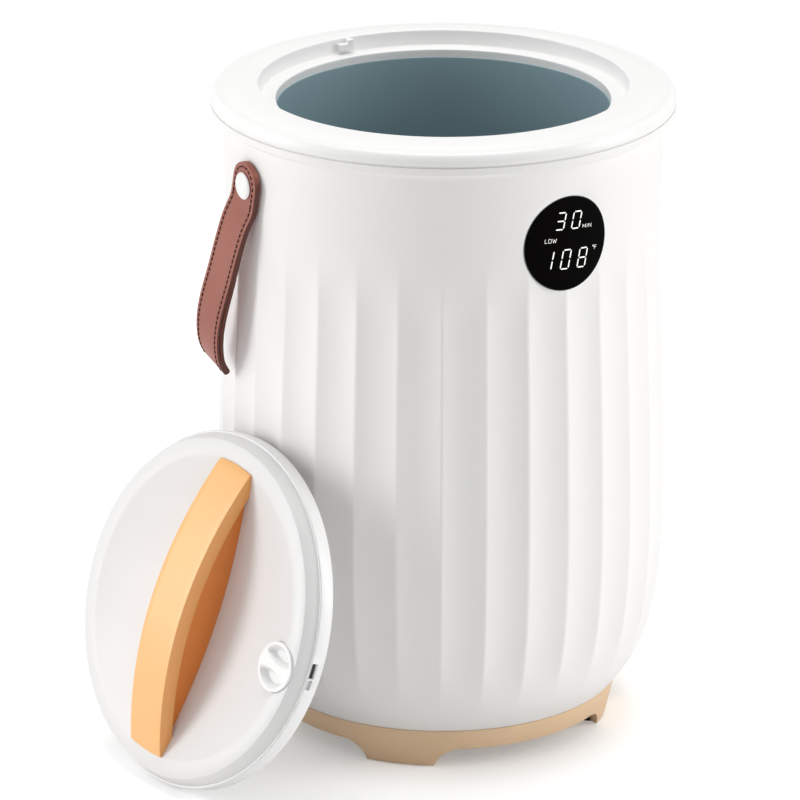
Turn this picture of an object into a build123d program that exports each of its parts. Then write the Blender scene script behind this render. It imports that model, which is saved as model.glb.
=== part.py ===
from build123d import *
import math
import os

os.makedirs("parts", exist_ok=True)

# Frame: the bucket's axis is Z, the floor is z = 0, the display faces -Y. Millimetres.

# Outer wall: radius of the flute ridges at each height.
wall_points = [
    (123.9, 29.3), (136.3, 46.0), (145.8, 67.0), (151.9, 92.1), (155.2, 121.4), (156.5, 163.2),
    (155.6, 217.7), (153.3, 280.4), (150.6, 343.2), (150.5, 397.6), (151.6, 429.0),
]
wall_thickness = 5.6
flute_count = 32
# Height, and depth of each concave flute between its ridges at that height.
flute_rows = [
    (29.3, 0.0), (38.0, 0.0), (46.0, 0.0), (56.0, 0.9), (67.0, 1.8), (80.0, 2.35), (105.0, 2.65),
    (135.0, 2.75), (163.2, 2.75), (217.7, 2.75), (280.4, 2.6), (325.0, 2.35), (343.2, 1.9), (357.0, 1.0),
    (370.0, 0.15), (382.0, 0.0), (397.6, 0.0), (415.0, 0.0), (429.0, 0.0),
]
flange_radius = 160.0
flange_top = 447.9

# Top rim and lid seat.
rim_top = 459.9
seat_radius = 127.2
seat_floor = 449.3
throat_radius = 115.0
liner_top = 443.5
liner_radius = 114.4
liner_sheet = 1.2
liner_floor = 54.0

# Base ring and feet.
base_top = 29.2
base_band = 14.5
foot_floor = 0.9
foot_angle = 47.5
foot_half_angle = 12.1
base_inner_radius = 98.0

foot_angles = (-foot_angle, foot_angle, 180 - foot_angle, 180 + foot_angle)

# Screws that hold the shells together.
rim_screw_radius = 120.4
rim_screw_angles = range(0, 360, 45)
base_screw_radius = 109.0
base_screw_angles = (-20, 20, 75, 105, 160, 200, 255, 285)
plate_screw_radius = 94.4
plate_screw_angles = (45, 135, 225, 315)

# Display on the front wall.
display_height = 385.0
lens_radius = 33.3
lens_face = 150.75
digit_lean = 0.13
digit_turn = -4.5

# Control board behind the front wall, and the power inlet at the rear.
board_face = -138.0
board_holes = [(-33.0, 243.0), (33.0, 243.0), (-33.0, 331.0), (33.0, 331.0)]
inlet_box = ((-14.0, 132.0, 84.0), (14.0, 153.4, 104.0))
inlet_lip = 3.0

# Studs and strap loops, set a little to the rear of the bucket's sides.
stud_turn = 3.2
stud_height = 409.7
stud_face = 156.4
cap_radius = 9.4
cap_rise = 2.9
strap_width = 30.6
strap_leather = 2.0
strap_tilt = 15.0
strap_head = 1.3
# Distance from the bucket's axis, by distance down the strap: it bows outward and comes back at the fold.
strap_outer_face = [
    (11.0, 156.2), (24.0, 159.4), (38.0, 162.4), (55.0, 164.8), (70.0, 166.6), (85.0, 168.8), (100.0, 170.3),
    (114.0, 170.0), (126.0, 168.0), (135.0, 164.9), (141.8, 160.9),
]
strap_inner_face = [
    (11.0, 152.2), (24.0, 155.4), (38.0, 158.4), (55.0, 160.4), (70.0, 161.8), (85.0, 163.6), (100.0, 165.0),
    (114.0, 164.8), (126.0, 163.0), (134.0, 160.2), (139.2, 156.9),
]
strap_fold = (142.5, 157.6)
strap_end_slope = (-0.53, -0.85)
stitch_inset = 3.2
stitch_pitch = 4.1

# Lid, in its own frame: origin at the centre of the dish edge, z outward.
lid_azimuth = -84.75
lid_tilt = 18.5
lid_origin = (-215.4, -15.4, 123.7)
dish_radius = 106.0
dish_depth = 15.0
bevel_radius = 117.0
cover_radius = 121.5
skirt_radius = 123.3
skirt_top = -9.5
skirt_bottom = -21.0
cover_sheet = 2.6
handle_turn = -5.0
handle_half_width = 17.5
handle_rise = 21.5
handle_thick = 11.0
handle_reach = 105.1
cap_turn = -6.6
cap_distance = 99.5
knob_radius = 17.2


def turned(points, angle=360.0):
    return revolve(Plane.XZ * make_face(Polyline(*points, close=True)), Axis.Z, angle)


def turned_edges(edges):
    return revolve(Plane.XZ * make_face(Curve() + edges), Axis.Z)


def rod(radius, start, end):
    line = Vector(*end) - Vector(*start)
    return Plane(origin=start, z_dir=line) * extrude(Circle(radius), line.length)


def block(low, high):
    size = [b - a for a, b in zip(low, high)]
    centre = [(a + b) / 2 for a, b in zip(low, high)]
    return Pos(*centre) * Box(*size)


def around(radius, angle, height=0.0):
    # Point at an angle counted from the front (-Y) towards +X.
    turn = math.radians(angle)
    return (radius * math.sin(turn), -radius * math.cos(turn), height)


def wall_radius(height):
    # Ridge radius at a height, read off the wall's smooth profile.
    wall = Spline(*wall_points)
    low, high = 0.0, 1.0
    for _ in range(40):
        middle = (low + high) / 2
        if (wall @ middle).Y < height:
            low = middle
        else:
            high = middle
    return (wall @ low).X


def screw(base, direction, head_radius, head_height, shaft_radius, length):
    # The head sits on the base point; the shaft runs along the direction.
    plane = Plane(origin=base, z_dir=direction)
    head = extrude(Circle(head_radius), -head_height)
    head = chamfer(head.faces().sort_by(Axis.Z)[0].edges(), head_height * 0.3)
    slot = Pos(0, 0, -head_height) * Box(head_radius * 1.2, 0.7, 1.0)
    cross = Pos(0, 0, -head_height) * Box(0.7, head_radius * 1.2, 1.0)
    shaft = extrude(Circle(shaft_radius), length)
    return plane * (head + shaft - slot - cross)


def save(name, shape):
    export_step(shape, f"parts/{name}.step")


def wall_section(height, depth):
    # One closed outline of arcs, each running from ridge to ridge through the flute's floor.
    radius = wall_radius(height)
    step = 2 * math.pi / flute_count
    arcs = []
    for index in range(flute_count):
        ridge = index * step
        floor = (index + 0.5) * step
        after = (index + 1) * step
        arcs.append(ThreePointArc(
            (radius * math.cos(ridge), radius * math.sin(ridge), height),
            ((radius - depth) * math.cos(floor), (radius - depth) * math.sin(floor), height),
            (radius * math.cos(after), radius * math.sin(after), height),
        ))
    return Wire(arcs)


def make_outer_shell():
    shell = Solid.make_loft([wall_section(height, depth) for height, depth in flute_rows])
    foot = wall_points[0]
    top = wall_points[-1]
    inner_foot = (foot[0] - wall_thickness, foot[1])
    inner_top = (top[0] - wall_thickness, top[1])
    inner_wall = Spline(*[(r - wall_thickness, z) for r, z in wall_points])
    shell -= turned_edges([
        inner_wall, Line(inner_top, (0, top[1])), Line((0, top[1]), (0, foot[1])), Line((0, foot[1]), inner_foot),
    ])
    # Neck flange that carries the rim.
    shell += turned_edges([
        Line(inner_top, top),
        ThreePointArc(top, (153.4, 436.6), (158.9, 441.4)),
        Line((158.9, 441.4), (flange_radius, 442.6)),
        Line((flange_radius, 442.6), (flange_radius, flange_top - 0.5)),
        Line((flange_radius, flange_top - 0.5), (158.8, flange_top - 0.5)),
        Line((158.8, flange_top - 0.5), (158.8, flange_top)),
        Line((158.8, flange_top), (inner_top[0], flange_top)),
        Line((inner_top[0], flange_top), inner_top),
    ])

    # Inner flange that sits on the base ring, with screw bosses.
    shell += turned([(106, 29.3), (120, 29.3), (121, 32.3), (106, 32.3)])
    for angle in base_screw_angles:
        x, y, _ = around(base_screw_radius, angle)
        shell += rod(4.5, (x, y, 31.0), (x, y, 42.0))
        shell -= rod(1.85, (x, y, 29.0), (x, y, 39.0))
    # A boss for the strap stud on each side, set into an opening in the wall.
    for side in (-1, 1):
        shell -= beside(side, rod(8.0, (side * 130, 0, stud_height), (side * 170, 0, stud_height)))
        boss = rod(9.0, (side * 144.2, 0, stud_height), (side * 151.9, 0, stud_height))
        boss -= rod(3.15, (side * 140, 0, stud_height), (side * 156, 0, stud_height))
        shell += beside(side, boss)
    # Round opening for the display.
    shell -= rod(lens_radius + 0.25, (0, -170, display_height), (0, -130, display_height))
    # Posts for the control board, ended inside the wall.
    for x, z in board_holes:
        inner = math.sqrt((wall_radius(z) - wall_thickness) ** 2 - x ** 2)
        shell += rod(3.2, (x, board_face - 1.65, z), (x, -inner - 1.7, z))
        shell -= rod(1.45, (x, board_face - 1.0, z), (x, -142.6, z))
    # Opening for the power inlet.
    low, high = inlet_box
    shell -= block((low[0] - 0.2, 140, low[2] - 0.2), (high[0] + 0.2, 170, high[2] + 0.2))
    return shell


def make_top_rim():
    edges = [
        Line((158.6, flange_top), (158.6, 448.6)),
        Line((158.6, 448.6), (160.0, 448.6)),
        Line((160.0, 448.6), (160.0, 452.6)),
        Spline((160.0, 452.6), (158.6, 455.2), (154.0, 457.0), (146.0, 458.7), (136.0, 459.75), (129.0, rim_top)),
        Line((129.0, rim_top), (seat_radius, 459.0)),
        Line((seat_radius, 459.0), (126.3, seat_floor)),
        Line((126.3, seat_floor), (115.8, seat_floor)),
        Line((115.8, seat_floor), (throat_radius, 448.5)),
        Line((throat_radius, 448.5), (throat_radius, liner_top + 0.1)),
        Line((throat_radius, liner_top + 0.1), (125.0, liner_top + 0.1)),
        Line((125.0, liner_top + 0.1), (125.0, 439.0)),
        Line((125.0, 439.0), (128.6, 439.0)),
        Line((128.6, 439.0), (129.6, 456.2)),
        Line((129.6, 456.2), (136.0, 456.2)),
        Line((136.0, 456.2), (143.0, 455.0)),
        Line((143.0, 455.0), (143.0, 438.5)),
        Line((143.0, 438.5), (145.7, 438.5)),
        Line((145.7, 438.5), (145.7, flange_top)),
        Line((145.7, flange_top), (158.6, flange_top)),
    ]
    rim = turned_edges(edges)
    # Bayonet lug at the rear of the seat.
    lug = block((-5.5, 121.6, 452.0), (5.5, 128.4, 456.5)) + block((1.5, 121.6, 456.0), (5.5, 128.4, 459.2))
    rim += lug & turned([(121.8, 451), (128.2, 451), (128.2, 460), (121.8, 460)])
    for angle in rim_screw_angles:
        x, y, _ = around(rim_screw_radius, angle)
        rim -= rod(1.55, (x, y, 443), (x, y, 448.2))
    return rim


def make_rim_screws():
    screws = []
    for angle in rim_screw_angles:
        x, y, _ = around(rim_screw_radius, angle)
        screws.append(screw((x, y, liner_top - liner_sheet - 0.02), (0, 0, 1), 2.9, 2.0, 1.5, 5.6))
    return Compound(screws)


def make_inner_barrel():
    outer = liner_radius + liner_sheet
    edges = [
        Line((124.4, liner_top), (124.4, liner_top - liner_sheet)),
        Line((124.4, liner_top - liner_sheet), (outer, liner_top - liner_sheet)),
        Line((outer, liner_top - liner_sheet), (outer, 66.8)),
        RadiusArc((outer, 66.8), (101.6, 52.8), 14.0),
        Line((101.6, 52.8), (0, 52.8)),
        Line((0, 52.8), (0, liner_floor)),
        Line((0, liner_floor), (101.6, liner_floor)),
        RadiusArc((101.6, liner_floor), (liner_radius, 66.8), -12.8),
        Line((liner_radius, 66.8), (liner_radius, liner_top)),
        Line((liner_radius, liner_top), (124.4, liner_top)),
    ]
    barrel = turned_edges(edges)
    for angle in rim_screw_angles:
        x, y, _ = around(rim_screw_radius, angle)
        barrel -= rod(1.7, (x, y, 440), (x, y, 446))
    return barrel


def make_base_ring():
    outline = [
        (91.0, 22.6), (base_inner_radius, 22.6), (base_inner_radius, foot_floor), (117.6, foot_floor),
        (118.2, 3.0), (120.9, base_band), (124.2, base_top), (91.0, base_top),
    ]
    ring = turned(outline)
    for angle in (0, 90, 180, 270):
        # Opening between two feet, with curved shoulders.
        gap = foot_angle if angle in (0, 180) else 90 - foot_angle
        half = 118.5 * math.sin(math.radians(gap - foot_half_angle))
        sketch = Rectangle(2 * half, 2 * base_band)
        sketch = fillet(sketch.vertices().group_by(Axis.Y)[-1], 14.0)
        arch = Rot(0, 0, angle) * extrude(Plane.XZ * sketch, 140)
        ring -= arch
        # Hollow above the opening.
        reach = gap - foot_half_angle - 9.0
        hollow = turned([(102, 10), (116.5, 10), (119, 25.4), (102, 25.4)], 2 * reach)
        ring -= Rot(0, 0, angle - 90 - reach) * hollow
    for angle in base_screw_angles:
        x, y, _ = around(base_screw_radius, angle)
        ring -= rod(1.9, (x, y, 20), (x, y, 31))
    for angle in plate_screw_angles:
        x, y, _ = around(plate_screw_radius, angle)
        ring -= rod(1.55, (x, y, 20), (x, y, 28))
    # Pockets for the foot pads.
    for angle in foot_angles:
        pocket = Rot(0, 0, angle - 90) * (Pos(108.0, 0, foot_floor) * extrude(RectangleRounded(13.4, 37.4, 6.5), 1.4))
        ring -= pocket
    return ring


def make_foot_pads():
    pads = []
    for angle in foot_angles:
        pad = extrude(RectangleRounded(13.0, 37.0, 6.3), foot_floor + 1.3)
        pad = chamfer(pad.faces().sort_by(Axis.Z)[0].edges(), 0.4)
        pads.append(Rot(0, 0, angle - 90) * (Pos(108.0, 0, 0) * pad))
    return Compound(pads)


def make_base_plate():
    plate = Pos(0, 0, 20.0) * Cylinder(base_inner_radius - 0.4, 2.5, align=(Align.CENTER, Align.CENTER, Align.MIN))
    for row in range(-3, 4):
        slot = Pos(0, row * 14, 21) * extrude(SlotOverall(56, 4), 6, both=True)
        plate -= slot
    for angle in plate_screw_angles:
        x, y, _ = around(plate_screw_radius, angle)
        plate -= rod(1.7, (x, y, 19), (x, y, 24))
    return plate


def make_plate_screws():
    screws = []
    for angle in plate_screw_angles:
        x, y, _ = around(plate_screw_radius, angle)
        screws.append(screw((x, y, 19.98), (0, 0, 1), 3.0, 2.0, 1.5, 7.2))
    return Compound(screws)


def make_base_screws():
    screws = []
    for angle in base_screw_angles:
        x, y, _ = around(base_screw_radius, angle)
        screws.append(screw((x, y, 25.38), (0, 0, 1), 3.6, 2.2, 1.75, 13.0))
    return Compound(screws)


def make_foil_heater():
    # One sheet round the barrel, raised in rows where the heating cord runs under it.
    outline = [(115.7, 112), (116.6, 112)]
    for height in range(120, 400, 28):
        outline += [(116.6, height), (117.4, height + 0.8), (117.4, height + 2.4), (116.6, height + 3.2)]
    outline += [(116.6, 405), (115.7, 405)]
    return Rot(0, 0, 94) * turned(outline, 352)


def make_insulation_wrap():
    wrap = turned([(117.6, 118), (125.4, 118), (125.4, 436), (117.6, 436)], 354)
    return Rot(0, 0, 93) * wrap


def make_bottom_insulation():
    pad = turned([(0, 44.4), (103, 44.4), (103, 52.4), (0, 52.4)])
    pad -= rod(13.0, (0, 0, 40), (0, 0, 56))
    pad -= block((28, -8, 40), (60, 8, 56))
    pad -= block((-50, -6, 40), (-28, 6, 56))
    return pad


def make_thermostat():
    body = rod(7.9, (0, 0, 43.6), (0, 0, 50.0)) + rod(8.6, (0, 0, 50.0), (0, 0, 52.7))
    body += block((-12, -3, 51.9), (12, 3, 52.7))
    for side in (-1, 1):
        body += block((side * 4 - 0.4, -3, 36.0), (side * 4 + 0.4, 3, 44.0))
    return body


def make_thermal_fuse():
    body = rod(2.2, (36, 0, 50.2), (50, 0, 50.2))
    body += rod(0.6, (30, 0, 50.2), (37, 0, 50.2)) + rod(0.6, (49, 0, 50.2), (57, 0, 50.2))
    return body + block((40, -5, 51.6), (46, 5, 52.7))


def make_temperature_sensor():
    body = rod(2.4, (-46, 0, 50.1), (-33, 0, 50.1)) + block((-43, -4.5, 51.6), (-36, 4.5, 52.7))
    return body


def make_display_lens():
    disc = rod(lens_radius, (0, -160, display_height), (0, -140, display_height))
    shape = disc & turned([(lens_face - 2.2, 340), (lens_face, 340), (lens_face, 430), (lens_face - 2.2, 430)])
    return shape


def digit_strokes(text, height, pitch):
    # Seven-segment strokes: letters name the lit bars of each digit.
    lit = {"0": "abcdef", "1": "bc", "3": "abcdg", "8": "abcdefg"}
    wide = 7.6
    thick = 1.15
    half = height / 2
    bars = {
        "a": (0, half, 1), "g": (0, 0, 1), "d": (0, -half, 1), "b": (wide / 2, half / 2, 0),
        "c": (wide / 2, -half / 2, 0), "f": (-wide / 2, half / 2, 0), "e": (-wide / 2, -half / 2, 0),
    }
    sketch = Sketch()
    for index, digit in enumerate(text):
        for bar in lit[digit]:
            x, y, level = bars[bar]
            long = (wide if level else half) - thick * 0.5
            size = (long, thick) if level else (thick, long)
            lean = y * digit_lean
            sketch += Pos(index * pitch + x + lean, y) * Rectangle(*size)
    return sketch


def make_display_digits():
    sketch = Pos(-7.0, 15.9) * digit_strokes("30", 12.5, 12.9)
    sketch += Pos(-14.4, -11.1) * digit_strokes("108", 14.0, 13.8)
    # Plain lit bars for the minutes and low-heat signs, and a degree ring with its bar.
    sketch += Pos(15.2, 10.9) * Rectangle(7.4, 1.4)
    sketch += Pos(-13.7, 2.6) * Rectangle(9.0, 1.4)
    sketch += Pos(22.3, -4.2) * (Circle(0.7) - Circle(0.35))
    sketch += Pos(24.2, -5.4) * Rectangle(1.6, 0.9)
    block_shape = extrude(Plane.XZ * (Rot(0, 0, digit_turn) * sketch), 30)
    block_shape = Pos(0, -135, display_height) * block_shape
    skin = turned([(lens_face + 0.02, 340), (lens_face + 0.17, 340), (lens_face + 0.17, 430), (lens_face + 0.02, 430)])
    return block_shape & skin


def make_display_housing():
    z = display_height
    cup = rod(32.9, (0, -147.8, z), (0, -131.0, z)) + rod(37.5, (0, -139.2, z), (0, -137.2, z))
    cup &= turned([(0, 340), (148.4, 340), (148.4, 430), (0, 430)])
    cup -= rod(31.0, (0, -152, z), (0, -132.8, z))
    # Opening for the cable, and posts for the board.
    cup -= block((-4.5, -136.6, z - 36), (4.5, -133.4, z - 30))
    for x in (-22, 22):
        cup += rod(2.6, (x, -132.0, z), (x, -141.65, z))
        cup -= rod(1.0, (x, -135, z), (x, -142, z))
    return cup


def make_display_board():
    z = display_height
    board = rod(30.4, (0, -143.2, z), (0, -141.7, z))
    for x in (-22, 22):
        board -= rod(1.4, (x, -146, z), (x, -140, z))
    board += block((-17, -146.6, z - 20), (19, -143.2, z - 7.0)) + block((-17, -146.6, z + 5), (4, -143.2, z + 18))
    board += block((-6, -141.7, z - 26.0), (6, -138.0, z - 20.5))
    return board


def make_control_board():
    board = block((-37, board_face - 1.6, 238), (37, board_face, 336))
    for x, z in board_holes:
        board -= rod(1.6, (x, board_face - 4, z), (x, board_face + 3, z))
    # Connectors along both ends.
    for x in (-22, 0, 22):
        board += block((x - 7, board_face, 241), (x + 7, board_face + 8.5, 249))
    board += block((-8, board_face, 322), (8, board_face + 6, 330))
    board += block((-30, board_face, 300), (-18, board_face + 3, 312)) + block((12, board_face, 300), (28, board_face + 2, 312))
    return board


def make_relay():
    return block((-31, board_face + 0.02, 262), (-12, board_face + 11.8, 278))


def make_filter_capacitor():
    low = (2, board_face + 0.02, 258)
    body = block(low, (28, board_face + 9.6, 272))
    return fillet(body.edges().filter_by(Axis.Y), 1.5)


def make_board_screws():
    screws = []
    for x, z in board_holes:
        screws.append(screw((x, board_face + 0.02, z), (0, -1, 0), 2.6, 1.8, 1.2, 4.2))
    for x in (-22, 22):
        screws.append(screw((x, -143.22, display_height), (0, 1, 0), 2.0, 1.4, 0.95, 6.0))
    return Compound(screws)


def make_power_inlet():
    low, high = inlet_box
    body = block((low[0], low[1], low[2]), (high[0], high[1], high[2]))
    face = block(
        (low[0] - inlet_lip, 147.0, low[2] - inlet_lip),
        (high[0] + inlet_lip, high[1] + 2.0, high[2] + inlet_lip),
    )
    face = fillet(face.edges().filter_by(Axis.Y), 3.0)
    # The back of the lip follows the wall.
    heights = [low[2] - 8 + 6 * step for step in range(7)]
    ridge = [(wall_radius(height) + 0.12, height) for height in heights]
    body += face - turned([(0, heights[0])] + ridge + [(0, heights[-1])])
    middle = (low[2] + high[2]) / 2
    socket = Plane(origin=(0, high[1] + 3, middle), z_dir=(0, -1, 0)) * extrude(SlotOverall(17.2, 9.6), 16)
    body -= socket
    for x in (-4.0, 4.0):
        body -= rod(1.35, (x, high[1], middle), (x, low[1] - 1, middle))
    return body


def make_inlet_pins():
    low, high = inlet_box
    middle = (low[2] + high[2]) / 2
    pins = []
    for x in (-4.0, 4.0):
        pins.append(rod(1.3, (x, low[1] - 4, middle), (x, high[1] - 1.5, middle)))
    return Compound(pins)


def lead(points, radius):
    path = Spline(*points)
    return sweep(Plane(origin=path @ 0, z_dir=path % 0) * Circle(radius), path=path)


def make_inlet_leads():
    low, high = inlet_box
    middle = (low[2] + high[2]) / 2
    leads = []
    for side in (-1, 1):
        x = 4.0 * side
        points = [(x, low[1] - 4.6, middle), (x + 1.5, low[1] - 8, middle - 2)]
        for angle, height in ((165, 88), (140, 88), (110, 90), (80, 100), (50, 135), (25, 190)):
            points.append(around(135.0 + 2 * side, angle, height + 4 * side))
        points.append((22 + 2.5 * side, board_face + 4.0, 225))
        points.append((22 + 2.5 * side, board_face + 4.0, 240.6))
        leads.append(lead(points, 1.3))
    return Compound(leads)


def make_heater_leads():
    leads = []
    for side in (-1, 1):
        x = -22 + 2.5 * side
        points = [(x, board_face + 4.0, 240.7), (x, board_face + 4.0, 225)]
        for angle, height in ((-25, 175), (-40, 120), (-55, 84), (-70, 62)):
            points.append(around(132.0 + 2 * side - (175 - height) * 0.03, angle, height))
        points.append(around(108.0, -88, 40.5 + 1.6 * side))
        points.append(around(80.0, -95, 37.5 + 1.5 * side))
        points.append(around(45.0, -120, 37 + 1.5 * side))
        points.append((4.0 * side, 9.0, 38.5))
        points.append((4.0 * side, 3.2, 38.5))
        leads.append(lead(points, 1.2))
    return Compound(leads)


def make_display_cable():
    z = display_height
    cable = rod(1.1, (0, -135.0, 330.05), (0, -135.0, z - 27.0))
    return Compound([Pos(-2.6, 0, 0) * cable, cable, Pos(2.6, 0, 0) * cable])


def beside(side, shape):
    # Turns a shape made straight out to the side round to where its stud is.
    return Rot(0, 0, side * stud_turn) * shape


def make_stud(side):
    profile = [
        Line((0, stud_face), (cap_radius - 0.5, stud_face)),
        Line((cap_radius - 0.5, stud_face), (cap_radius, stud_face + 0.5)),
        Line((cap_radius, stud_face + 0.5), (cap_radius, stud_face + 1.0)),
        Spline(
            (cap_radius, stud_face + 1.0), (cap_radius - 1.4, stud_face + 2.0), (5.0, stud_face + 2.7),
            (0, stud_face + cap_rise),
        ),
        Line((0, stud_face + cap_rise), (0, stud_face)),
    ]
    cap = turned_edges(profile) + rod(3.0, (0, 0, 139.0), (0, 0, stud_face + 1))
    return beside(side, Pos(0, 0, stud_height) * (Rot(0, 90 * side, 0) * cap))


def make_stud_nuts():
    nuts = []
    for side in (-1, 1):
        nut = Rot(0, 90, 0) * extrude(RegularPolygon(5.5, 6) - Circle(3.1), 3.6)
        start = 140.5 if side > 0 else -144.1
        nuts.append(beside(side, Pos(start, 0, stud_height) * nut))
    return Compound(nuts)


def strap_plane(side):
    # Local x runs outward, local y up along the strap; the strap's width is along local z.
    tilt = math.radians(strap_tilt)
    up = Vector(0, -math.sin(tilt), math.cos(tilt))
    out = Vector(side, 0, 0)
    return Plane(origin=(0, 0, stud_height), x_dir=out, z_dir=out.cross(up))


def strap_curve(stations):
    # Flat beside the stud, then a smooth curve; the strap's outline is drawn in its own upright plane.
    points = [(x, -d) for d, x in stations]
    flat = Line((points[0][0], strap_width), points[0])
    return flat, Spline(*points, tangents=[(0, -1), strap_end_slope])


def make_strap(side):
    flat_outer, outer = strap_curve(strap_outer_face)
    flat_inner, inner = strap_curve(strap_inner_face)
    fold = ThreePointArc(outer @ 1, (strap_fold[1], -strap_fold[0]), inner @ 1)
    body = make_face(Curve() + [flat_outer, outer, fold, inner, flat_inner, Line(flat_inner @ 0, flat_outer @ 0)])
    # Narrow gap between the two layers, pointed at both ends.
    gap_top = (161.3, -44.0)
    gap_bottom = (162.8, -133.4)
    gap_outer = [(x - strap_leather, -d) for d, x in strap_outer_face if 50 < d < 130]
    gap_inner = [(x + strap_leather, -d) for d, x in strap_inner_face if 50 < d < 130]
    gap = make_face(Curve() + [Spline(gap_top, *gap_outer, gap_bottom), Spline(gap_bottom, *gap_inner[::-1], gap_top)])
    plane = strap_plane(side)
    strap = plane * extrude(body - gap, strap_width / 2, both=True)
    # Rounded head above the stud, and the hole for its shank.
    plan = Pos(0, strap_head - 100) * Rectangle(strap_width, 200) + Pos(0, strap_head) * Circle(strap_width / 2)
    head_plane = Plane(origin=(side * 145, 0, stud_height), x_dir=plane.z_dir * -1, z_dir=plane.x_dir)
    strap &= head_plane * extrude(plan, 40)
    strap -= rod(3.45, (side * 145, 0, stud_height), (side * 170, 0, stud_height))
    return beside(side, strap)


def make_stitching(side):
    flat, curve = strap_curve(strap_outer_face)
    plane = strap_plane(side)
    inset = strap_width / 2 - stitch_inset
    face = strap_outer_face[0][1]
    places = [(Vector(face, strap_head - (index + 0.6) * stitch_pitch, 0), Vector(0, -1, 0)) for index in range(3)]
    curve_count = round(curve.length / stitch_pitch)
    for index in range(curve_count):
        place = (index + 0.3) / curve_count
        places.append((curve @ place, curve % place))
    stitches = []
    for spot, along in places:
        outward = Vector(-along.Y, along.X, 0)
        for edge in (-1, 1):
            centre = spot + outward * 0.34 + Vector(0, 0, edge * inset)
            stitches.append(plane * (Plane(origin=centre, x_dir=along, z_dir=(0, 0, 1)) * Box(2.7, 0.5, 0.8)))
    for index in range(9):
        turn = math.radians(10 + index * 20)
        centre = Vector(face + 0.34, strap_head + inset * math.sin(turn), inset * math.cos(turn))
        along = Vector(0, math.cos(turn), -math.sin(turn))
        stitches.append(plane * (Plane(origin=centre, x_dir=along, z_dir=(1, 0, 0)) * Box(2.6, 0.8, 0.5)))
    return beside(side, Compound(stitches))


def lid_plane():
    turn = math.radians(lid_azimuth)
    tilt = math.radians(lid_tilt)
    out = (math.sin(turn) * math.cos(tilt), -math.cos(turn) * math.cos(tilt), math.sin(tilt))
    return Plane(origin=lid_origin, x_dir=(math.cos(turn), math.sin(turn), 0), z_dir=out)


def dish_height(radius):
    return -dish_depth * (1 - (radius / dish_radius) ** 2)


def dish_curve(offset, reach=dish_radius):
    steps = 8
    return [(reach * i / steps, dish_height(reach * i / steps) + offset) for i in range(steps + 1)]


def lid_spot(radius, angle):
    turn = math.radians(angle)
    return radius * math.cos(turn), radius * math.sin(turn)


def post_spots():
    return [lid_spot(96.0, angle) for angle in (42, 135, 225, 318)]


def handle_screw_spots():
    return [lid_spot(72.0, 90 + handle_turn), lid_spot(72.0, 270 + handle_turn)]


def column(x, y, radius, low, high):
    return Pos(x, y, low) * extrude(Circle(radius), high - low)


def make_lid_cover():
    top = dish_curve(0)
    under = dish_curve(-cover_sheet)
    edges = [
        Spline(*top, tangents=[(1, 0), (1, 2 * dish_depth / dish_radius)]),
        Line(top[-1], (bevel_radius, -1.0)),
        Line((bevel_radius, -1.0), (cover_radius, -9.0)),
        Line((cover_radius, -9.0), (cover_radius, skirt_top)),
        Line((cover_radius, skirt_top), (118.2, skirt_top)),
        Line((118.2, skirt_top), (114.6, -3.7)),
        Line((114.6, -3.7), under[-1]),
        Spline(*under[::-1]),
        Line(under[0], top[0]),
    ]
    cover = turned_edges(edges)
    # Posts for the inner plate's screws, merged into the underside.
    for x, y in post_spots():
        cover += column(x, y, 3.4, -18.45, -4.6)
        cover -= column(x, y, 1.35, -18.5, -8.0)
    cap_x, cap_y = lid_spot(cap_distance, cap_turn)
    cover -= column(cap_x, cap_y, knob_radius + 0.35, -30, 30)
    for x, y in handle_screw_spots():
        cover -= column(x, y, 2.1, -30, 30)
    return cover


def make_lid_skirt():
    skirt = turned([
        (117.6, skirt_top - 0.05), (122.8, skirt_top - 0.05), (skirt_radius, skirt_top - 0.55),
        (skirt_radius, skirt_bottom + 0.8), (skirt_radius - 0.8, skirt_bottom), (120.4, skirt_bottom),
        (120.4, -12.2), (117.6, -12.2),
    ])
    # Bayonet slot and the shallow ramp beside it.
    skirt -= Rot(0, 0, -2.95) * block((121.2, -5.4, -14.8), (125, 5.4, -10.6))
    skirt -= Rot(0, 0, -7.6) * block((122.3, -3.6, -14.5), (125, 3.6, -11.0))
    return skirt


def make_lid_inner_plate():
    plate = column(0, 0, 120.2, -20.9, -18.5)
    cap_x, cap_y = lid_spot(cap_distance, cap_turn)
    for x, y in vent_spots():
        plate -= column(cap_x + x, cap_y + y, 1.6, -22, -18)
    for x, y in post_spots():
        plate -= column(x, y, 1.7, -22, -18)
    return plate


def vent_spots():
    spots = [(0.0, 0.0)]
    for index in range(6):
        spots.append(lid_spot(8.5, index * 60))
    return spots


def make_lid_seal():
    return turned([(110.6, -20.95), (114.3, -20.95), (114.3, -22.2), (113.6, -22.9), (111.6, -22.9), (110.6, -22.2)])


def make_lid_insulation():
    ring = turned([(56, -18.3), (88, -18.3), (88, -13.6), (56, -13.6)])
    cap_x, cap_y = lid_spot(cap_distance, cap_turn)
    return ring - column(cap_x, cap_y, 18.2, -20, -10)


def make_lid_screws():
    screws = []
    for x, y in post_spots():
        screws.append(screw((x, y, -20.92), (0, 0, 1), 3.0, 1.6, 1.3, 11.5))
    return Compound(screws)


def handle_height(distance):
    return 0.8 + handle_rise * (1 - (distance / 105.0) ** 2)


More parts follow.
